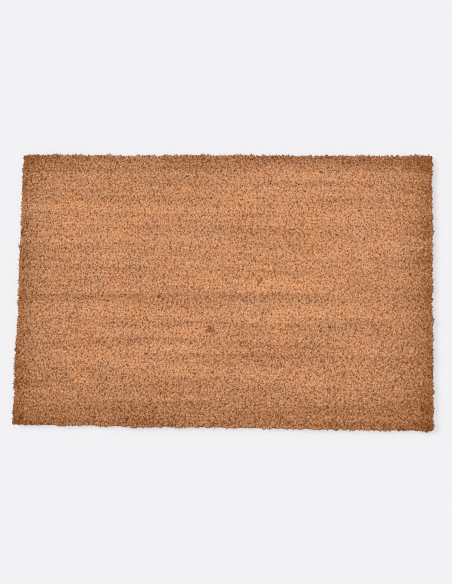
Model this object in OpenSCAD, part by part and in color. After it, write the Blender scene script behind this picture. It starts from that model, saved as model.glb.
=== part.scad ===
// Door mat: coir yarn tufts planted in rows in a vinyl backing sheet, shorn level on top.
// Origin: middle of the underside. +X runs along the tuft rows, +Z points up out of the pile.
// Every tuft row is a solid of its own; the rows are kept in groups of neighbours, one group
// to a node. Millimetres.

/* [Mat] */
// Length of the mat, along the tuft rows
mat_l = 600; // [300:10:900]
// Width of the mat, across the tuft rows
mat_w = 400; // [200:10:600]
// Height of the mat from the floor to the shorn tips
mat_h = 15; // [10:0.5:25]

/* [Backing] */
// Thickness of the backing sheet
backing_t = 3; // [2.5:0.1:5]
// Depth that the tuft roots reach into the backing sheet
root_depth = 1.8; // [0.6:0.1:2.2]

/* [Pile] */
// Spacing of the tuft rows
row_pitch = 4.5; // [4.1:0.1:8]
// Width of a tuft row at its root
root_w = 3.2; // [1.5:0.1:3.9]
// Bevel along the top of a tuft row, where the tips part
tip_bevel = 0.6; // [0.2:0.1:1.2]
// Least distance from the outermost tufts to the cut edge of the backing sheet
edge_inset = 1; // [0.5:0.5:5]

/* [Clearances] */
// Gap between the tips of neighbouring tuft rows
row_gap = 0.3; // [0.1:0.05:0.6]
// Gap between a tuft row and the sides and ends of its slot in the backing sheet
root_clearance = 0.05; // [0.02:0.01:0.1]

/* [Hidden] */
GROUPS = 22;

backing_colour = [0.45, 0.34, 0.26];
coir_colour = [0.75, 0.52, 0.37];

row_l = mat_l - 2 * edge_inset;
row_count = floor((mat_w - 2 * edge_inset) / row_pitch);
tip_w = row_pitch - row_gap;
root_z = backing_t - root_depth;
row_h = mat_h - root_z;

// Name of a group of rows, counted from 1 at the front edge
function group_name(g) = str("tuft_rows_", g < 10 ? "0" : "", g);

// First row of a group, so that the rows are shared evenly between the groups
function first_row(g) = round((g - 1) * row_count / GROUPS);

// Middle of a row, counted from 0 at the front edge
function row_y(i) = (i - (row_count - 1) / 2) * row_pitch;

// End view of a tuft row, standing on its root: it opens out towards the tips. side widens it.
module row_profile(side = 0) {
    root = root_w / 2 + side;
    tip = tip_w / 2 + side;
    polygon([
        [-root, 0],
        [root, 0],
        [tip, row_h - tip_bevel],
        [tip - tip_bevel, row_h],
        [tip_bevel - tip, row_h],
        [-tip, row_h - tip_bevel]
    ]);
}

// A tuft row in its place, or with side set, the room that it needs
module tuft_row(i, side = 0) {
    translate([0, row_y(i), root_z])
        rotate([90, 0, 90])
            linear_extrude(height = row_l + 2 * side, center = true)
                row_profile(side);
}

// Vinyl sheet with a blind slot for the root of each row
module backing_sheet() {
    color(backing_colour)
        difference() {
            translate([-mat_l / 2, -mat_w / 2, 0])
                cube([mat_l, mat_w, backing_t]);
            for (i = [0:row_count - 1])
                tuft_row(i, side = root_clearance);
        }
}

// One group of neighbouring tuft rows
module tuft_rows(g) {
    color(coir_colour)
        for (i = [first_row(g):first_row(g + 1) - 1])
            tuft_row(i);
}

backing_sheet();
for (g = [1:GROUPS])
    tuft_rows(g);
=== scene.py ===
"""Coir door mat: cut coir tufts planted in rows in a vinyl backing sheet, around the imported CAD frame."""

import math
import random
from statistics import NormalDist

import bmesh
import bpy
import numpy as np
from mathutils import Euler, Matrix, Vector, noise


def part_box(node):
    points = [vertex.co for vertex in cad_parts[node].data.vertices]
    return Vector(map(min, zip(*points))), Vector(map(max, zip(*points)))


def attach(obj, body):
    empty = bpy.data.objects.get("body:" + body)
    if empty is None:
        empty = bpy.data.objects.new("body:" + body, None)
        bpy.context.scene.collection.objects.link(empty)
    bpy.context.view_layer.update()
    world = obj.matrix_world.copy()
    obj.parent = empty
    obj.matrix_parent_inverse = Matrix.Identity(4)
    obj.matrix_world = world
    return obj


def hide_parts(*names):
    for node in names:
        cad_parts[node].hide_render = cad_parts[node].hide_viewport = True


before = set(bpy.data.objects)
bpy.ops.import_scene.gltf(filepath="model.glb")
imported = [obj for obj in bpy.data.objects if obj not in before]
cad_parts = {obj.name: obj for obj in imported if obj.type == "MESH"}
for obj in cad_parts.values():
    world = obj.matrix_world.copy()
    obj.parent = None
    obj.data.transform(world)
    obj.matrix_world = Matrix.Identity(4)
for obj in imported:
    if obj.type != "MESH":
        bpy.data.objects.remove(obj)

bl_info = {
    "name": "Coir Door Mat",
    "version": (1, 0, 0),
    "blender": (4, 5, 0),
    "location": "3D View > Sidebar > Door Mat",
    "description": "Builds a door mat of cut coir tufts planted in a vinyl backing sheet",
    "category": "Add Mesh",
}

MM = 0.001
BODY = "root"
BACKING_NODE = "backing_sheet"
ROW_NODES = sorted(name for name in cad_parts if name.startswith("tuft_rows_"))
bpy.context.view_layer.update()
BACKING_LOW, BACKING_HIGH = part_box(BACKING_NODE)
FRONT_ROWS_LOW, FRONT_ROWS_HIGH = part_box(ROW_NODES[0])
BACK_ROWS_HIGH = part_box(ROW_NODES[-1])[1]
MAT_LENGTH = BACKING_HIGH.x - BACKING_LOW.x
MAT_WIDTH = BACKING_HIGH.y - BACKING_LOW.y
SHEET_TOP = BACKING_HIGH.z
ROOT_LEVEL = FRONT_ROWS_LOW.z
TIP_LEVEL = FRONT_ROWS_HIGH.z
TUFT_HEIGHT = TIP_LEVEL - ROOT_LEVEL

# The fibre colours are a function of this map: up is root to tip, and across are columns for duller, plain
# and more golden fibres, each from dark to pale.
FIBRE_MAP = "OFBake"
HUES = ((0.966, 1.0, 1.05), (1.0, 1.0, 1.0), (1.028, 1.0, 0.94))
TINT_PEAK = 1.1           # the tints are divided by this to stay under 1, and multiplied back afterwards
FIBRE_MAP_WIDTH = 0.012   # how much of a column one strand takes

# Where the faces lie up the map: the two ends of a strand, its sides, and the sides and crown of a core.
FOOT_END, CUT_END = 0.02, 0.97
SIDE_FROM, SIDE_TO = 0.04, 0.93
CORE_SIDE_SPAN = 0.7
CORE_CROWN = 0.86

# A template is 1 high on a round plan of this radius, and is stretched to its room when it is planted.
TEMPLATE_RADIUS = 0.25
INNER_TEMPLATES, EDGE_TEMPLATES = 24, 10
INNER_SEED, EDGE_SEED = 100, 200
CORE_SIDES = 6
CROWN_INSET = 0.42        # width of the ring round a core's crown, as a share of the crown's radius
LEAST_DROP = 0.05 * MM    # no part of a core's crown stands higher than this below the tips
FLATNESS = 1.2            # strands are wider than they are thick
STRAND_ROOT_SHARE = 0.7   # width of a full strand at the vinyl, as a share of its tip
SPIN_BY_TONE = 50.0       # turns each strand about itself by its own angle
GOLDEN_ANGLE = math.pi * (3 - math.sqrt(5))

# How unevenly the tufts are planted, shorn and coloured.
ROW_DRIFT = 0.8 * MM
SHIFT_ALONG, SHIFT_ACROSS = 0.35 * MM, 0.3 * MM
LEAN_SHIFT = 0.3 * MM
END_SHARE = 0.8           # a tuft nearer to the end of its row than this share of a step is an edge tuft
LEVEL_SHIFT = 0.12 * MM
ROW_TONE_SPREAD = 0.022
TUFT_TONE_SPREAD = 0.02

# Smooth noise over the mat: strength, waves a metre along and across the rows, and a layer of its own.
TONE_PATCHES = ((0.14, 5, 45, 3.1), (0.14, 7, 150, 17.0), (0.06, 22, 60, 7.7))
HUE_PATCHES = ((1.6, 28, 28, 41.0), (0.8, 75, 75, 53.0))
EDGE_LEAN_PATCH = (0.7, 12, 12, 61.0)
LEAN_PATCHES = ((0.7 * MM, 30, 30, 11.0), (0.7 * MM, 30, 30, 23.0))
CUT_WAVES = (25, 25, 5.0)

# Near the cut edges the tufts lean out, are more ragged and are duller, the dullness greying the painted
# edge shade: how far in, and how much more.
LEAN_REACH = 7 * MM
RAGGED_REACH, RAGGED_MORE = 4 * MM, 3.0
EDGE_SHADE_DULL_REACH, EDGE_SHADE_DULL_MORE = 20 * MM, 1.2

# Hue of a tuft: how much paler tufts are more golden, the chance in it, and where the columns part.
GOLDEN_WITH_TONE = 5.0
HUE_SPREAD = 0.35
HUE_STEP = 0.35

PLAIN_TONE = 0.52
HUSK_TONE = -0.55

BACKING_CELLS = (120, 80)
CORNER_ANGLE = math.radians(60)
TINY = 1e-6
FLOOR_REACH = 6.0
SENSOR_HEIGHT = 36.0      # in millimetres, as Blender's sensors are

# Streaks along the rows, each from a run of paler or darker feed yarn: middle in y and half width in metres,
# and tone.
STREAKS = (
    (0.170, 0.006, 0.070),
    (0.132, 0.005, 0.045),
    (0.120, 0.008, 0.055),
    (0.108, 0.005, 0.035),
    (0.074, 0.006, 0.045),
    (0.040, 0.004, 0.040),
    (0.030, 0.005, 0.035),
    (0.004, 0.006, 0.035),
    (-0.012, 0.006, -0.095),
    (-0.029, 0.006, -0.020),
    (-0.041, 0.004, 0.030),
    (-0.073, 0.006, -0.025),
    (-0.102, 0.007, -0.090),
    (-0.123, 0.005, 0.020),
    (-0.145, 0.012, -0.012),
    (-0.170, 0.007, -0.045),
)

# The pile is painted darker towards the cut edges as painted shade, deepest at the right end and the front
# edge, away from the light: side as an axis and a sign, tone at the edge, reach in metres.
EDGE_PAINTED_SHADE = (
    (0, -1, -0.36, 0.022),
    (0, 1, -0.46, 0.026),
    (1, -1, -0.42, 0.036),
    (1, 1, -0.36, 0.020),
)

# Bits of dark husk left among the fibres: x, y and radius in metres.
HUSK_BITS = (
    (-0.018, -0.059, 0.0054),
    (0.053, 0.011, 0.0034),
    (0.053, 0.016, 0.0034),
    (0.108, 0.010, 0.0032),
    (-0.298, 0.156, 0.0040),
    (-0.296, 0.082, 0.0035),
)


class DoorMatPileSettings(bpy.types.PropertyGroup):
    """Sizes and colours of the coir pile"""
    tuft_pitch: bpy.props.FloatProperty(
        name="Tuft Pitch", description="Spacing of the tufts along a row",
        default=4.7 * MM, min=3 * MM, max=12 * MM, unit="LENGTH")
    row_pitch: bpy.props.FloatProperty(
        name="Row Pitch", description="Spacing of the rows",
        default=4.5 * MM, min=3 * MM, max=9 * MM, unit="LENGTH")
    fibre_width: bpy.props.FloatProperty(
        name="Fibre Width", description="Width of one strand of coir",
        default=0.95 * MM, min=0.2 * MM, max=2 * MM, unit="LENGTH")
    wisps: bpy.props.IntProperty(
        name="Wisps", description="Strands of a tuft that fan out of its core to a cut end",
        default=24, min=0, max=80)
    strands: bpy.props.IntProperty(
        name="Strands", description="Strands of a tuft that are nearly as wide at the vinyl as at the tips",
        default=1, min=0, max=60)
    edge_strands: bpy.props.IntProperty(
        name="Edge Strands", description="Strands in a tuft at the cut edges", default=30, min=5, max=80)
    core_spread: bpy.props.FloatProperty(
        name="Core Spread", description="Radius of a tuft's packed core as a share of its tips'",
        default=0.85, min=0.3, max=1.3)
    core_drop: bpy.props.FloatProperty(
        name="Core Drop", description="How far the packed core stays below the tips",
        default=0.35 * MM, min=0, max=5 * MM, unit="LENGTH")
    shoulder_spread: bpy.props.FloatProperty(
        name="Shoulder Spread", description="Radius of the core's shoulder as a share of its tips'",
        default=1.2, min=0.3, max=1.5)
    shoulder_drop: bpy.props.FloatProperty(
        name="Shoulder Drop", description="How far the core's shoulder lies below the tips",
        default=2.0 * MM, min=0, max=8 * MM, unit="LENGTH")
    crown_round: bpy.props.FloatProperty(
        name="Crown Round", description="How far the core's crown falls away to its rim",
        default=0.3 * MM, min=0, max=5 * MM, unit="LENGTH")
    root_spread: bpy.props.FloatProperty(
        name="Root Spread", description="Radius of a tuft where it leaves the vinyl",
        default=1.3 * MM, min=0.5 * MM, max=3 * MM, unit="LENGTH")
    edge_root_spread: bpy.props.FloatProperty(
        name="Edge Root Spread", description="Root Spread of the straighter tufts at the cut edges",
        default=2.3 * MM, min=0.5 * MM, max=4 * MM, unit="LENGTH")
    tip_spread: bpy.props.FloatProperty(
        name="Tip Spread", description="Radius of a tuft at its tips, as a share of half its spacing",
        default=1.24, min=0.5, max=1.8)
    fray: bpy.props.FloatProperty(
        name="Fray", description="How much further the loosest strands spread at the cut edges",
        default=0.5, min=0, max=1)
    shear_wander: bpy.props.FloatProperty(
        name="Shear Wander", description="How far the shorn tips stand above or below level",
        default=0.12 * MM, min=0, max=2 * MM, unit="LENGTH")
    clumps: bpy.props.IntProperty(
        name="Clumps", description="Clumps that the tips of a tuft stick together in",
        default=10, min=1, max=30)
    clump_contrast: bpy.props.FloatProperty(
        name="Clump Contrast", description="How much the clumps of a tuft differ in tone",
        default=0.06, min=0, max=0.5)
    pit_share: bpy.props.FloatProperty(
        name="Pit Share", description="Share of the clumps that end well below the shorn level",
        default=0.14, min=0, max=1, subtype="FACTOR")
    pit_depth: bpy.props.FloatProperty(
        name="Pit Depth", description="How far those clumps end below the shorn level",
        default=2.6 * MM, min=0, max=6 * MM, unit="LENGTH")
    fibre_contrast: bpy.props.FloatProperty(
        name="Fibre Contrast", description="How much the strands of a tuft differ in tone",
        default=0.28, min=0, max=0.5)
    end_gap: bpy.props.FloatProperty(
        name="End Gap", description="From the end of a row to the middle of its last tuft",
        default=2.2 * MM, min=1 * MM, max=6 * MM, unit="LENGTH")
    side_gap: bpy.props.FloatProperty(
        name="Side Gap", description="From the outside of the outermost row to the middle of its tufts",
        default=1.9 * MM, min=1 * MM, max=6 * MM, unit="LENGTH")
    edge_lean: bpy.props.FloatProperty(
        name="Edge Lean", description="How far the outermost tips lean out",
        default=3.2 * MM, min=0, max=6 * MM, unit="LENGTH")
    tip_colour: bpy.props.FloatVectorProperty(
        name="Pale Fibre", description="Colour of the palest coir fibres", subtype="COLOR",
        default=(0.775, 0.450, 0.250), size=3, min=0, max=1)
    body_colour: bpy.props.FloatVectorProperty(
        name="Coir", description="Colour of most of the coir fibres", subtype="COLOR",
        default=(0.630, 0.298, 0.135), size=3, min=0, max=1)
    dark_colour: bpy.props.FloatVectorProperty(
        name="Dark Fibre", description="Colour of the darkest coir fibres and husk", subtype="COLOR",
        default=(0.26, 0.074, 0.010), size=3, min=0, max=1)


class DoorMatBackingSettings(bpy.types.PropertyGroup):
    """Colour and cut edge of the vinyl sheet"""
    colour: bpy.props.FloatVectorProperty(
        name="Vinyl", description="Colour of the vinyl sheet", subtype="COLOR",
        default=(0.17, 0.095, 0.055), size=3, min=0, max=1)
    cut_wander: bpy.props.FloatProperty(
        name="Cut Wander", description="How far the knife cut strays from straight",
        default=0.8 * MM, min=0, max=2 * MM, unit="LENGTH")
    edge_round: bpy.props.FloatProperty(
        name="Edge Round", description="Rounding of the cut edges",
        default=0.4 * MM, min=0.1 * MM, max=1 * MM, unit="LENGTH")


class DoorMatStageSettings(bpy.types.PropertyGroup):
    """Camera, floor and lights"""
    floor_colour: bpy.props.FloatVectorProperty(
        name="Floor", description="Colour of the floor", subtype="COLOR",
        default=(0.707, 0.707, 0.725), size=3, min=0, max=1)
    wall_colour: bpy.props.FloatVectorProperty(
        name="Wall", description="Colour behind the floor where a low view meets it", subtype="COLOR",
        default=(0.86, 0.86, 0.88), size=3, min=0, max=1)
    key_power: bpy.props.FloatProperty(
        name="Key Power", description="Strength of the broad light over the camera", default=2.7, min=0)
    key_softness: bpy.props.FloatProperty(
        name="Key Softness", description="Angle that the broad light fills, seen from the mat",
        default=math.radians(14), min=0, max=math.pi, subtype="ANGLE", unit="ROTATION")
    key_turn: bpy.props.FloatVectorProperty(
        name="Key Turn", description="How the broad light is turned",
        default=[math.radians(a) for a in (7, 0, 0)], size=3, subtype="EULER", unit="ROTATION")
    side_power: bpy.props.FloatProperty(
        name="Side Power", description="Strength of the soft light from the left", default=0.7, min=0)
    side_softness: bpy.props.FloatProperty(
        name="Side Softness", description="Angle that the side light fills, seen from the mat",
        default=math.radians(24), min=0, max=math.pi, subtype="ANGLE", unit="ROTATION")
    side_turn: bpy.props.FloatVectorProperty(
        name="Side Turn", description="How the side light is turned",
        default=[math.radians(a) for a in (-8, -30, 0)], size=3, subtype="EULER", unit="ROTATION")
    fill: bpy.props.FloatProperty(
        name="Fill", description="Strength of the even light from all round", default=0.22, min=0)
    camera_place: bpy.props.FloatVectorProperty(
        name="Camera Place", description="Where the camera stands, from the middle of the mat's tips",
        default=(0.1303, -0.3244, 1.969), size=3, subtype="TRANSLATION", unit="LENGTH")
    camera_turn: bpy.props.FloatVectorProperty(
        name="Camera Turn", description="How the camera is turned",
        default=[math.radians(a) for a in (9.29, 3.50, 1.09)], size=3, subtype="EULER", unit="ROTATION")
    lens: bpy.props.FloatProperty(
        name="Lens", description="Focal length of the camera in millimetres", default=85, min=20, max=300)


# ---------------------------------------------------------------- shader node helpers

def add_node(tree, kind, inputs=None, **properties):
    """Adds a node with its properties, and gives each input a value or links it to another node's output."""
    node = tree.nodes.new(kind)
    for name, value in properties.items():
        setattr(node, name, value)
    for socket, value in (inputs or {}).items():
        if isinstance(value, bpy.types.NodeSocket):
            tree.links.new(value, node.inputs[socket])
        else:
            node.inputs[socket].default_value = value
    return node


def new_material(name):
    """A material with its node tree and the shader in it."""
    material = bpy.data.materials.new(name)
    material.use_nodes = True
    return material, material.node_tree, material.node_tree.nodes["Principled BSDF"]


def grain_group():
    """Fine grain that the coir and the vinyl share: a mottle from 0 to 1 and a height for a bump."""
    group = bpy.data.node_groups.get("Fine Grain")
    if group:
        return group
    group = bpy.data.node_groups.new("Fine Grain", "ShaderNodeTree")
    group.interface.new_socket("Vector", in_out="INPUT", socket_type="NodeSocketVector")
    for name, scale in (("Patch Scale", 20.0), ("Grain Scale", 400.0)):
        socket = group.interface.new_socket(name, in_out="INPUT", socket_type="NodeSocketFloat")
        socket.default_value = scale
    for name in ("Mottle", "Height"):
        group.interface.new_socket(name, in_out="OUTPUT", socket_type="NodeSocketFloat")
    given = group.nodes.new("NodeGroupInput").outputs
    patches = add_node(group, "ShaderNodeTexNoise", {
        "Vector": given["Vector"], "Scale": given["Patch Scale"], "Detail": 4.0})
    grain = add_node(group, "ShaderNodeTexNoise", {
        "Vector": given["Vector"], "Scale": given["Grain Scale"], "Detail": 2.0})
    patch_share = add_node(group, "ShaderNodeMath", {
        0: patches.outputs["Fac"], 1: 0.65}, operation="MULTIPLY")
    mottle = add_node(group, "ShaderNodeMath", {
        0: grain.outputs["Fac"], 1: 0.35, 2: patch_share.outputs[0]}, operation="MULTIPLY_ADD")
    add_node(group, "NodeGroupOutput", {"Mottle": mottle.outputs[0], "Height": grain.outputs["Fac"]})
    return group


def grained_surface(tree, shader, grain, roughness, bump_strength, bump_distance):
    """Lets a grain group's outputs vary a shader's roughness and raise its surface."""
    least, most = roughness
    matt = add_node(tree, "ShaderNodeMapRange", {
        "Value": grain.outputs["Mottle"], "To Min": least, "To Max": most})
    tree.links.new(matt.outputs["Result"], shader.inputs["Roughness"])
    bump = add_node(tree, "ShaderNodeBump", {
        "Height": grain.outputs["Height"], "Strength": bump_strength, "Distance": bump_distance})
    tree.links.new(bump.outputs["Normal"], shader.inputs["Normal"])


def hue_tint(tree, across):
    """Tint of a strand by its column of the fibre map, divided by TINT_PEAK."""
    tint = add_node(tree, "ShaderNodeValToRGB", {"Fac": across})
    ramp = tint.color_ramp
    ramp.interpolation = "CONSTANT"
    for _ in HUES[2:]:
        ramp.elements.new(1.0)
    for k, (stop, hue) in enumerate(zip(ramp.elements, HUES)):
        stop.position = k / len(HUES)
        stop.color = (*[channel / TINT_PEAK for channel in hue], 1)
    return tint.outputs["Color"]


def fibre_tone(tree, across, settings):
    """Colour of a strand by its place within its column, from dark husk to pale straw."""
    columns = add_node(tree, "ShaderNodeMath", {0: across, 1: len(HUES)}, operation="MULTIPLY")
    within = add_node(tree, "ShaderNodeMath", {0: columns.outputs[0]}, operation="FRACT")
    tone = add_node(tree, "ShaderNodeValToRGB", {"Fac": within.outputs[0]})
    ramp = tone.color_ramp
    ramp.elements[0].color = (*settings.dark_colour, 1)
    ramp.elements[1].color = (*settings.tip_colour, 1)
    ramp.elements.new(0.5).color = (*settings.body_colour, 1)
    return tone.outputs["Color"]


def coir_material(settings):
    """Coir fibre: across the map it goes from dark husk to pale straw, up the map from root to tip, with
    painted shade darkening it towards the root.
    """
    material, tree, shader = new_material("Coir Fibre")
    shader.inputs["Specular IOR Level"].default_value = 0.25
    uv = add_node(tree, "ShaderNodeUVMap", uv_map=FIBRE_MAP).outputs["UV"]
    place = add_node(tree, "ShaderNodeSeparateXYZ", {0: uv})
    hued = add_node(tree, "ShaderNodeVectorMath", {
        0: fibre_tone(tree, place.outputs["X"], settings),
        1: hue_tint(tree, place.outputs["X"])}, operation="MULTIPLY")

    # the grain is drawn out along the strand
    stretch = add_node(tree, "ShaderNodeMapping", {"Vector": uv, "Scale": (1.0, 0.06, 1.0)})
    grain = add_node(tree, "ShaderNodeGroup", {
        "Vector": stretch.outputs["Vector"], "Patch Scale": 45.0, "Grain Scale": 260.0},
        node_tree=grain_group())

    flecks = add_node(tree, "ShaderNodeMapRange", {
        "Value": grain.outputs["Mottle"], "From Min": 0.3, "From Max": 0.7,
        "To Min": 0.82 * TINT_PEAK, "To Max": 1.12 * TINT_PEAK})
    # painted shade: each strand is darkened towards its root, deep in the pile
    depth = add_node(tree, "ShaderNodeMapRange", {
        "Value": place.outputs["Y"], "From Min": 0.1, "From Max": 0.8, "To Min": 0.6, "To Max": 1.0})
    shade = add_node(tree, "ShaderNodeMath", {
        0: flecks.outputs["Result"], 1: depth.outputs["Result"]}, operation="MULTIPLY")
    colour = add_node(tree, "ShaderNodeVectorMath", {
        0: hued.outputs["Vector"], "Scale": shade.outputs[0]}, operation="SCALE")
    tree.links.new(colour.outputs["Vector"], shader.inputs["Base Color"])
    grained_surface(tree, shader, grain, (0.62, 0.85), 0.25, 0.05 * MM)
    return material


def vinyl_material(settings):
    """Cast vinyl: matt, faintly mottled, with a fine pebble from the casting belt."""
    material, tree, shader = new_material("Cast Vinyl")
    place = add_node(tree, "ShaderNodeTexCoord")
    grain = add_node(tree, "ShaderNodeGroup", {
        "Vector": place.outputs["Object"], "Patch Scale": 14.0, "Grain Scale": 900.0},
        node_tree=grain_group())
    tint = add_node(tree, "ShaderNodeMix", {
        "Factor": grain.outputs["Mottle"],
        "A": (*[channel * 0.75 for channel in settings.colour], 1),
        "B": (*[channel * 1.3 for channel in settings.colour], 1)}, data_type="RGBA")
    tree.links.new(tint.outputs["Result"], shader.inputs["Base Color"])
    grained_surface(tree, shader, grain, (0.55, 0.8), 0.5, 0.2 * MM)
    return material


def floor_material(settings):
    """Matt pale floor."""
    material, _tree, shader = new_material("Pale Floor")
    shader.inputs["Base Color"].default_value = (*settings.floor_colour, 1)
    shader.inputs["Roughness"].default_value = 0.9
    shader.inputs["Specular IOR Level"].default_value = 0.1
    return material


# ---------------------------------------------------------------- tufts

def pour(bm, small, scratch):
    """Adds one mesh being built to another."""
    small.to_mesh(scratch)
    small.free()
    bm.from_mesh(scratch)


def fibre(foot, tip, width, tone, root_share, bow=None):
    """One closed, flattened, three-sided strand from foot to tip. root_share is its width at the root as a
    share of its tip, and 0 is a wisp that runs to a point; bow moves a middle ring to curve it."""
    along = tip - foot
    half = along.length / 2
    bm = bmesh.new()
    uv_layer = bm.loops.layers.uv.new(FIBRE_MAP)
    bmesh.ops.create_cone(bm, cap_ends=True, cap_tris=False, segments=3,
                          radius1=width * 0.5 * root_share, radius2=width * 0.5, depth=2 * half)
    if bow is not None:
        sides = [e for e in bm.edges if abs(e.verts[0].co.z - e.verts[1].co.z) > half]
        bmesh.ops.subdivide_edges(bm, edges=sides, cuts=1)
    bm.normal_update()
    for face in bm.faces:
        middle = face.calc_center_median()
        turn = math.atan2(middle.y, middle.x)
        is_cap = abs(face.normal.z) > 0.9
        for loop in face.loops:
            co = loop.vert.co
            if is_cap:
                u = tone + FIBRE_MAP_WIDTH * 0.5 * co.x / width
                v = CUT_END + 0.02 * co.y / width if middle.z > 0 else FOOT_END + 0.01 * co.y / width
            else:
                side = math.remainder(math.atan2(co.y, co.x) - turn, math.tau)
                u = tone + FIBRE_MAP_WIDTH * (0.5 if side > 0 else -0.5)
                v = SIDE_FROM + (SIDE_TO - SIDE_FROM) * (co.z + half) / (2 * half)
            loop[uv_layer].uv = (u, v)
    if bow is not None:
        ring = [v for v in bm.verts if abs(v.co.z) < half / 2]
        bmesh.ops.translate(bm, verts=ring, vec=bow)
    flat = Matrix.Diagonal((FLATNESS, 1 / FLATNESS, 1.0, 1.0))
    place = Matrix.Translation((foot + tip) / 2) @ along.to_track_quat("Z", "Y").to_matrix().to_4x4()
    spin = Matrix.Rotation(tone * SPIN_BY_TONE, 4, "Z")
    bm.transform(place @ spin @ flat)
    return bm


def spread_tones(count, contrast, rng):
    """Tones drawn evenly from a bell curve, so that every tuft has its share of pale and dark strands."""
    tones = [NormalDist(0, contrast).inv_cdf((k + 0.5) / count) for k in range(count)]
    rng.shuffle(tones)
    return tones


def clump_places(settings, rng):
    """Where the fibres of a tuft stick together at its tips, as tip place, tone and drop for each clump."""
    clumps = []
    pits = rng.sample(range(settings.clumps), round(settings.pit_share * settings.clumps))
    for k, tone in enumerate(spread_tones(settings.clumps, settings.clump_contrast, rng)):
        reach = TEMPLATE_RADIUS * math.sqrt((k + 0.5) / settings.clumps)
        turn = k * GOLDEN_ANGLE + rng.uniform(-0.5, 0.5)
        place = Vector((reach * math.cos(turn), reach * math.sin(turn)))
        drop = abs(rng.gauss(0, settings.shear_wander))
        # painted shade: the pit clumps are set lower and also painted darker, standing in for the shade in
        # the pits
        if k in pits:
            tone -= rng.uniform(0.35, 0.6)
            drop += settings.pit_depth * rng.uniform(0.5, 1.3)
        clumps.append((place, tone, drop))
    return clumps


def nearest_clump(clumps, place):
    """Tone and drop of the clump nearest to a place in a tuft's plan."""
    _, tone, drop = min(clumps, key=lambda clump: (clump[0] - place).length)
    return tone, drop


def core(settings, clumps, rng):
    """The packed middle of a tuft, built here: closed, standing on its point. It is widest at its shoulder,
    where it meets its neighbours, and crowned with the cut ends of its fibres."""
    crown_radius = TEMPLATE_RADIUS * settings.core_spread
    shoulder_radius = TEMPLATE_RADIUS * settings.shoulder_spread
    shoulder_level = 1.0 - settings.shoulder_drop / TUFT_HEIGHT
    bm = bmesh.new()
    uv_layer = bm.loops.layers.uv.new(FIBRE_MAP)
    bmesh.ops.create_cone(bm, cap_ends=True, cap_tris=False, segments=CORE_SIDES,
                          radius1=0, radius2=shoulder_radius, depth=shoulder_level)
    bmesh.ops.translate(bm, verts=bm.verts, vec=(0, 0, shoulder_level / 2))
    cap = next(f for f in bm.faces if len(f.verts) == CORE_SIDES)
    raised = bmesh.ops.extrude_discrete_faces(bm, faces=[cap])["faces"][0]
    inward = crown_radius / shoulder_radius
    for vert in raised.verts:
        vert.co = (vert.co.x * inward, vert.co.y * inward, 1.0)
    bm.normal_update()
    bmesh.ops.inset_region(bm, faces=[raised], thickness=crown_radius * CROWN_INSET)
    bmesh.ops.poke(bm, faces=[raised])
    bmesh.ops.triangulate(bm, faces=[f for f in bm.faces if len(f.verts) == 4])
    bm.normal_update()
    tones = spread_tones(len(bm.faces), settings.fibre_contrast, rng)
    for face, face_tone in zip(bm.faces, tones):
        is_crown = face.normal.z > 0.9
        tone = nearest_clump(clumps, face.calc_center_median().xy)[0] + face_tone
        for loop in face.loops:
            co = loop.vert.co
            shade = tone + FIBRE_MAP_WIDTH * co.x / shoulder_radius
            level = CORE_CROWN + 0.1 * co.y if is_crown else SIDE_FROM + CORE_SIDE_SPAN * co.z
            loop[uv_layer].uv = (shade, level)
    for vert in bm.verts:
        is_foot, is_crown = vert.co.z < 0.5, vert.co.z > 0.99
        if is_foot:
            continue
        vert.co.xy *= rng.uniform(0.86, 1.14)
        if is_crown:
            reach = vert.co.xy.length / crown_radius
            drop = settings.core_drop * rng.gauss(1.0, 0.3) + settings.crown_round * reach ** 3
            drop += nearest_clump(clumps, vert.co.xy)[1]
            vert.co.z -= max(drop, LEAST_DROP) / TUFT_HEIGHT
    return bm


def tuft_template(seed, settings, wisps, strands, root_spread, fray):
    """A tuft that fills TEMPLATE_RADIUS at its tips and stands from z 0 to z 1, its tones around 0. With
    fray, its strands are curved, and some of them spread further out."""
    rng = random.Random(seed)
    bm = bmesh.new()
    scratch = bpy.data.meshes.new("strand_scratch")
    root = root_spread / TUFT_HEIGHT
    clumps = clump_places(settings, rng)
    pour(bm, core(settings, clumps, rng), scratch)
    count = wisps + strands
    kinds = [True] * wisps + [False] * strands
    rng.shuffle(kinds)
    tones = spread_tones(count, settings.fibre_contrast, rng)
    for k, is_wisp in enumerate(kinds):
        # a sunflower spiral spreads the strands evenly, and the draw shakes them
        reach = math.sqrt((k + 0.5) / count)
        turn = k * GOLDEN_ANGLE + rng.uniform(-0.4, 0.4)
        start = root * reach * rng.uniform(0.75, 1.1)
        end = TEMPLATE_RADIUS * reach * rng.uniform(0.75, 1.2 + fray)
        end_turn = turn + rng.gauss(0, 0.3)
        foot = Vector((start * math.cos(turn), start * math.sin(turn), 0.0))
        tip = Vector((end * math.cos(end_turn), end * math.sin(end_turn), 1.0))
        clump_tone, drop = nearest_clump(clumps, tip.xy)
        tip.z -= drop / TUFT_HEIGHT
        bow = None
        if fray:
            away = rng.uniform(0, math.tau)
            size = rng.uniform(0.01, 0.05)
            bow = Vector((size * math.cos(away), size * math.sin(away), 0.0))
        width = settings.fibre_width / TUFT_HEIGHT * rng.uniform(0.75, 1.25)
        root_share = 0.0 if is_wisp else STRAND_ROOT_SHARE
        strand = fibre(foot, tip, width, clump_tone + tones[k], root_share, bow)
        pour(bm, strand, scratch)
    bpy.data.meshes.remove(scratch)
    mesh = bpy.data.meshes.new(f"tuft_template_{seed}")
    bm.to_mesh(mesh)
    bm.free()
    return mesh


def soft_patch(patch, x, y):
    """One layer of smooth noise at a place on the mat."""
    strength, along, across, layer = patch
    return strength * noise.noise(Vector((x * along, y * across, layer)))


def edge_distance(x, y):
    """How far a place lies in from the nearest cut edge."""
    return min(MAT_LENGTH / 2 - abs(x), MAT_WIDTH / 2 - abs(y))


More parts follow.
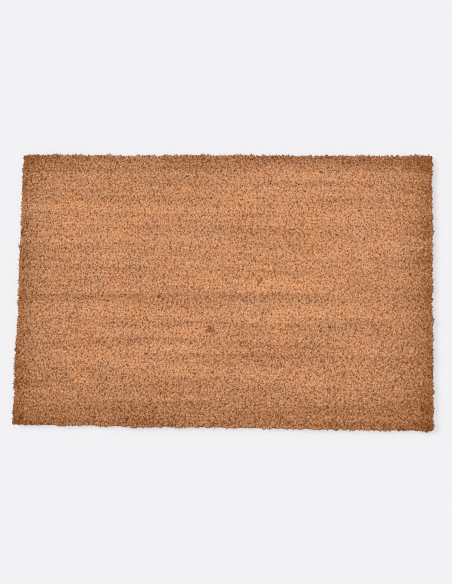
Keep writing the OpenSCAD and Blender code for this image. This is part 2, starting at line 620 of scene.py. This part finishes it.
def ground_tone(x, y):
    """Tone of the pile at a place: streaks along the rows, soft patches and painted shade darkening the
    edges.
    """
    tone = PLAIN_TONE
    for middle, half_width, shift in STREAKS:
        tone += shift * math.exp(-((y - middle) / half_width) ** 2)
    for patch in TONE_PATCHES:
        tone += soft_patch(patch, x, y)
    # painted shade: the pile is darkened towards each cut edge
    for axis, side, shift, reach in EDGE_PAINTED_SHADE:
        gap = (MAT_LENGTH, MAT_WIDTH)[axis] / 2 - side * (x, y)[axis]
        tone += shift * math.exp(-max(gap, 0) / reach)
    return tone


def ground_hue(x, y, tone, rng):
    """Column of the fibre map for a tuft: more golden and duller tufts come in patches, and the darker tufts
    and those by the edges are duller, a greying that goes with the painted shade at the edges."""
    lean = sum(soft_patch(patch, x, y) for patch in HUE_PATCHES)
    # painted shade: tufts near the cut edges are made duller to go with their painted darkness
    lean -= EDGE_SHADE_DULL_MORE * math.exp(-max(edge_distance(x, y), 0) / EDGE_SHADE_DULL_REACH)
    draw = lean + GOLDEN_WITH_TONE * (tone - PLAIN_TONE) + rng.gauss(0, HUE_SPREAD)
    return 0 if draw < -HUE_STEP else 2 if draw > HUE_STEP else 1


def husk_tone(x, y):
    """What a bit of dark husk takes from the tone of a tuft."""
    for hx, hy, radius in HUSK_BITS:
        if math.hypot(x - hx, y - hy) < radius:
            return HUSK_TONE
    return 0.0


def outward_lean(x, y, settings):
    """How far the tips lean at a place: out near the cut edges, and with a slow wander everywhere."""
    lean = Vector((0, 0))
    reach = settings.edge_lean * (1 + soft_patch(EDGE_LEAN_PATCH, x, y))
    for axis, half in ((0, MAT_LENGTH / 2), (1, MAT_WIDTH / 2)):
        place = (x, y)[axis]
        gap = half - abs(place)
        lean[axis] += math.copysign(reach * math.exp(-gap / LEAN_REACH), place)
    for axis, patch in enumerate(LEAN_PATCHES):
        lean[axis] += soft_patch(patch, x, y)
    return lean


def plant_tuft(bm, scratch, template, x, y, settings, rng):
    """Copies a template to its place, turned, spread to its room, leaned and shorn, and returns how many
    face corners it has."""
    small = bmesh.new()
    small.from_mesh(template)
    small.transform(Matrix.Rotation(rng.uniform(0, math.tau), 4, "Z"))
    spread = settings.tip_spread / TEMPLATE_RADIUS * rng.uniform(0.9, 1.08)
    # half the way to its six neighbours in a staggered pattern
    room = Vector((settings.tuft_pitch / 2, settings.row_pitch / math.sqrt(3))) * (spread / TUFT_HEIGHT)
    level = (TUFT_HEIGHT + rng.gauss(0, LEVEL_SHIFT)) / TUFT_HEIGHT
    ragged = 1.0 + RAGGED_MORE * math.exp(-edge_distance(x, y) / RAGGED_REACH)
    shake = Vector((rng.gauss(0, LEAN_SHIFT), rng.gauss(0, LEAN_SHIFT))) * ragged
    lean = outward_lean(x, y, settings) + shake
    shear = Matrix.Identity(4)
    shear[0][2], shear[1][2] = lean.x / TUFT_HEIGHT, lean.y / TUFT_HEIGHT
    size = Matrix.Diagonal((room.x, room.y, level, 1.0))
    small.transform(Matrix.Translation((x, y, ROOT_LEVEL)) @ Matrix.Scale(TUFT_HEIGHT, 4) @ shear @ size)
    pour(bm, small, scratch)
    return len(scratch.loops)


class DOORMAT_OT_tuft_rows(bpy.types.Operator):
    """Plants the coir tufts, one piece for each group of rows"""
    bl_idname = "doormat.tuft_rows"
    bl_label = "Tuft Rows"

    def execute(self, context):
        settings = context.scene.door_mat_pile
        material = coir_material(settings)
        inner = [tuft_template(INNER_SEED + k, settings, settings.wisps, settings.strands,
                               settings.root_spread, fray=0.0)
                 for k in range(INNER_TEMPLATES)]
        outer = [tuft_template(EDGE_SEED + k, settings, 0, settings.edge_strands,
                               settings.edge_root_spread, settings.fray)
                 for k in range(EDGE_TEMPLATES)]
        scratch = bpy.data.meshes.new("tuft_scratch")
        first_row = 0
        for node in ROW_NODES:
            first_row += self.plant_group(node, first_row, settings, material, inner, outer, scratch)
        for mesh in inner + outer + [scratch]:
            bpy.data.meshes.remove(mesh)
        return {"FINISHED"}

    def plant_group(self, node, first_row, settings, material, inner, outer, scratch):
        """Makes the piece for one group of rows, and returns how many rows it has."""
        low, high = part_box(node)
        rows = round((high.y - low.y) / settings.row_pitch)
        first_x, last_x = low.x + settings.end_gap, high.x - settings.end_gap
        front_y, back_y = FRONT_ROWS_LOW.y + settings.side_gap, BACK_ROWS_HIGH.y - settings.side_gap
        tufts = round((last_x - first_x) / settings.tuft_pitch) + 1
        step = (last_x - first_x) / (tufts - 1)
        rng = random.Random(f"{node} planting")
        bm = bmesh.new()
        tones, hues, loop_counts = [], [], []
        for k in range(rows):
            row = first_row + k
            row_y = (low.y + high.y) / 2 + (k - (rows - 1) / 2) * settings.row_pitch
            is_outermost = (node == ROW_NODES[0] and k == 0) or (node == ROW_NODES[-1] and k == rows - 1)
            # every other row has one tuft more and starts half a step out, with its end tufts moved in
            extra = row % 2
            stagger = extra * step / 2
            drift = rng.uniform(-ROW_DRIFT, ROW_DRIFT)
            row_tone = random.Random(f"feed yarn {row}").gauss(0, ROW_TONE_SPREAD)
            for tuft in range(tufts + extra):
                x = first_x + tuft * step - stagger + drift + rng.gauss(0, SHIFT_ALONG)
                x = min(max(x, first_x), last_x)
                y = min(max(row_y + rng.gauss(0, SHIFT_ACROSS), front_y), back_y)
                is_end = min(x - first_x, last_x - x) < step * END_SHARE
                template = rng.choice(outer if is_end or is_outermost else inner)
                loop_counts.append(plant_tuft(bm, scratch, template, x, y, settings, rng))
                ground = ground_tone(x, y) + row_tone
                tones.append(ground + husk_tone(x, y) + rng.gauss(0, TUFT_TONE_SPREAD))
                hues.append(ground_hue(x, y, ground, rng))
        mesh = bpy.data.meshes.new(node.replace("tuft_rows", "coir_rows"))
        bm.to_mesh(mesh)
        bm.free()
        layer = mesh.uv_layers[FIBRE_MAP]
        uv = np.empty(len(mesh.loops) * 2, np.float32)
        layer.uv.foreach_get("vector", uv)
        across = np.clip(uv[0::2] + np.repeat(tones, loop_counts), 0.01, 0.99)
        uv[0::2] = (np.repeat(hues, loop_counts) + across) / len(HUES)
        layer.uv.foreach_set("vector", uv)
        piece = bpy.data.objects.new(mesh.name, mesh)
        bpy.context.scene.collection.objects.link(piece)
        mesh.materials.append(material)
        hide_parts(node)
        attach(piece, BODY)
        return rows


class DOORMAT_OT_backing(bpy.types.Operator):
    """Makes the vinyl backing sheet with its knife-cut edges"""
    bl_idname = "doormat.backing"
    bl_label = "Backing Sheet"

    def execute(self, context):
        settings = context.scene.door_mat_backing
        bm = bmesh.new()
        bmesh.ops.create_grid(bm, x_segments=BACKING_CELLS[0], y_segments=BACKING_CELLS[1], size=0.5)
        length, width = MAT_LENGTH - 2 * settings.cut_wander, MAT_WIDTH - 2 * settings.cut_wander
        bmesh.ops.scale(bm, vec=(length, width, 1.0), verts=bm.verts)
        for vert in bm.verts:
            if vert.is_boundary:
                stray = soft_patch((settings.cut_wander, *CUT_WAVES), vert.co.x, vert.co.y)
                is_at_end = abs(abs(vert.co.x) - length / 2) < TINY
                vert.co[0 if is_at_end else 1] += stray
        rim = bmesh.ops.extrude_face_region(bm, geom=bm.faces[:])
        lifted = [v for v in rim["geom"] if isinstance(v, bmesh.types.BMVert)]
        bmesh.ops.translate(bm, verts=lifted, vec=(0, 0, SHEET_TOP))
        bmesh.ops.recalc_face_normals(bm, faces=bm.faces)
        corners = [e for e in bm.edges if e.calc_face_angle(0) > CORNER_ANGLE]
        bmesh.ops.bevel(bm, geom=corners, offset=settings.edge_round, segments=2, profile=0.5,
                        affect="EDGES", material=-1)
        mesh = bpy.data.meshes.new("vinyl_backing_sheet")
        bm.to_mesh(mesh)
        bm.free()
        mesh.materials.append(vinyl_material(settings))
        piece = bpy.data.objects.new(mesh.name, mesh)
        context.scene.collection.objects.link(piece)
        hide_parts(BACKING_NODE)
        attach(piece, BODY)
        return {"FINISHED"}


class DOORMAT_OT_stage(bpy.types.Operator):
    """Sets the camera, the pale floor and the soft lights"""
    bl_idname = "doormat.stage"
    bl_label = "Stage"

    def execute(self, context):
        scene = context.scene
        settings = scene.door_mat_stage
        scene.view_settings.view_transform = "Standard"
        # a wide filter or the denoiser would smooth the grain of the fibres away
        scene.cycles.filter_width = 1.0
        scene.cycles.use_denoising = False
        camera = bpy.data.cameras.new("Camera")
        camera.lens = settings.lens
        camera.sensor_fit = "VERTICAL"
        camera.sensor_height = SENSOR_HEIGHT
        holder = bpy.data.objects.new("Camera", camera)
        holder.location = Vector(settings.camera_place) + Vector((0, 0, TIP_LEVEL))
        holder.rotation_euler = Euler(settings.camera_turn)
        scene.collection.objects.link(holder)
        scene.camera = holder

        bm = bmesh.new()
        bmesh.ops.create_grid(bm, x_segments=1, y_segments=1, size=FLOOR_REACH)
        mesh = bpy.data.meshes.new("floor")
        bm.to_mesh(mesh)
        bm.free()
        mesh.materials.append(floor_material(settings))
        floor = bpy.data.objects.new("floor", mesh)
        scene.collection.objects.link(floor)

        for name, power, softness, turn in (
                ("key", settings.key_power, settings.key_softness, settings.key_turn),
                ("side", settings.side_power, settings.side_softness, settings.side_turn)):
            light = bpy.data.lights.new(name, "SUN")
            light.angle = softness
            light.energy = power
            lamp = bpy.data.objects.new(name, light)
            lamp.rotation_euler = Euler(turn)
            scene.collection.objects.link(lamp)

        world = bpy.data.worlds.new("Soft Room")
        world.use_nodes = True
        tree = world.node_tree
        room = tree.nodes["Background"]
        room.inputs["Color"].default_value = (1.0, 1.0, 1.0, 1.0)
        room.inputs["Strength"].default_value = settings.fill
        # seen directly, the wall is as pale as the floor, and its light on the mat stays the fill
        wall = add_node(tree, "ShaderNodeBackground", {"Color": (*settings.wall_colour, 1)})
        seen = add_node(tree, "ShaderNodeLightPath")
        either = add_node(tree, "ShaderNodeMixShader", {
            "Fac": seen.outputs["Is Camera Ray"],
            1: room.outputs["Background"], 2: wall.outputs["Background"]})
        tree.links.new(either.outputs["Shader"], tree.nodes["World Output"].inputs["Surface"])
        scene.world = world
        return {"FINISHED"}


class DOORMAT_PT_panel(bpy.types.Panel):
    bl_idname = "DOORMAT_PT_panel"
    bl_label = "Door Mat"
    bl_space_type = "VIEW_3D"
    bl_region_type = "UI"
    bl_category = "Door Mat"

    def draw(self, context):
        scene = context.scene
        for title, settings in (("Stage", scene.door_mat_stage), ("Backing", scene.door_mat_backing),
                                ("Pile", scene.door_mat_pile)):
            box = self.layout.box()
            box.label(text=title)
            for name in settings.__annotations__:
                box.prop(settings, name)
        for operator in OPERATORS:
            self.layout.operator(operator.bl_idname)


OPERATORS = (DOORMAT_OT_stage, DOORMAT_OT_backing, DOORMAT_OT_tuft_rows)
SETTINGS = (DoorMatPileSettings, DoorMatBackingSettings, DoorMatStageSettings)
CLASSES = SETTINGS + OPERATORS + (DOORMAT_PT_panel,)


def register():
    for cls in CLASSES:
        bpy.utils.register_class(cls)
    bpy.types.Scene.door_mat_pile = bpy.props.PointerProperty(type=DoorMatPileSettings)
    bpy.types.Scene.door_mat_backing = bpy.props.PointerProperty(type=DoorMatBackingSettings)
    bpy.types.Scene.door_mat_stage = bpy.props.PointerProperty(type=DoorMatStageSettings)


def unregister():
    del bpy.types.Scene.door_mat_stage
    del bpy.types.Scene.door_mat_backing
    del bpy.types.Scene.door_mat_pile
    for cls in reversed(CLASSES):
        bpy.utils.unregister_class(cls)


def main():
    register()
    bpy.ops.doormat.stage()
    bpy.ops.doormat.backing()
    bpy.ops.doormat.tuft_rows()


if __name__ == "__main__":
    main()
